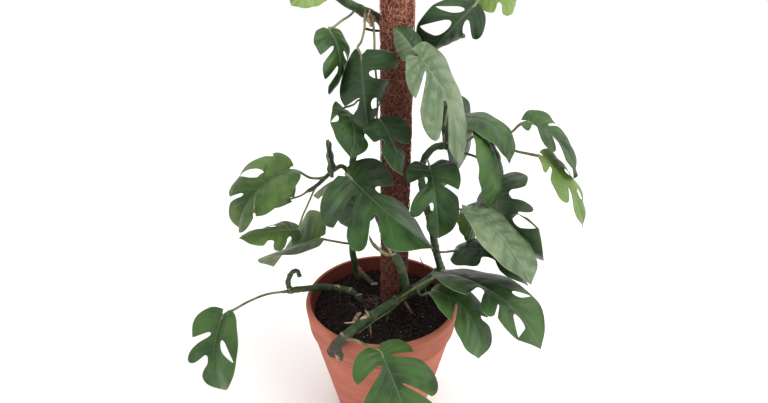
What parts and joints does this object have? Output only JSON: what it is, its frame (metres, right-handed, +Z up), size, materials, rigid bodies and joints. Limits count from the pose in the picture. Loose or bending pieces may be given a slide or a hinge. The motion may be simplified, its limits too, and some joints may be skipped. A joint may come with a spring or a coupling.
{
  "type": "potted mini monstera",
  "caption": "Climbing house plant with split leaves on leaf stalks, tied to an upright coir pole and rooted in soil in a round terracotta pot.",
  "frame": {"origin": "centre of the pot's base, on the surface the pot stands on", "axes": "+Z up along the pole, -Y towards the viewer, +X to the viewer's right"},
  "size_m": [0.4981, 0.3531, 0.6269],
  "materials": {
    "terracotta": "fired clay, matt",
    "soil": "damp potting soil, matt",
    "coir": "matted coconut fibre",
    "stake_wood": "plain bare wood",
    "stem": "green living stem, satin",
    "leaf_green": "living leaf, satin",
    "leaf_pale": "living leaf with a grey sheen, satin",
    "leaf_young": "young living leaf, satin"
  },
  "bodies": {
    "root": {"terracotta_pot": "terracotta", "potting_soil": "soil", "pole_stake": "stake_wood", "coir_sleeve": "coir", "main_stem": "stem", "left_stem": "stem", "back_stem": "stem", "climbing_stem": "stem", "leaf_back_left": "leaf_green", "leaf_back_mid": "leaf_green", "leaf_back_right": "leaf_green", "leaf_centre_big": "leaf_green", "leaf_centre_right": "leaf_green", "leaf_centre_shade": "leaf_green", "leaf_far_right_low": "leaf_young", "leaf_far_right_top": "leaf_pale", "leaf_left_low_back": "leaf_young", "leaf_left_low_front": "leaf_green", "leaf_left_mid_back": "leaf_green", "leaf_left_mid_front": "leaf_green", "leaf_left_young": "leaf_green", "leaf_low_front": "leaf_green", "leaf_low_left": "leaf_green", "leaf_mid_left": "leaf_green", "leaf_mid_pole": "leaf_green", "leaf_pole_pale": "leaf_pale", "leaf_pot_right": "leaf_green", "leaf_right_arch": "leaf_green", "leaf_right_back": "leaf_green", "leaf_right_dark": "leaf_green", "leaf_right_hang": "leaf_green", "leaf_right_low": "leaf_green", "leaf_right_pale": "leaf_pale", "leaf_right_shade": "leaf_green", "leaf_right_small": "leaf_green", "leaf_top_left": "leaf_young", "leaf_top_right": "leaf_young", "leaf_upper_left": "leaf_green", "leaf_upper_mid": "leaf_green", "leaf_upper_pale": "leaf_pale", "leaf_upper_right": "leaf_green"}
  },
  "joints": []
}
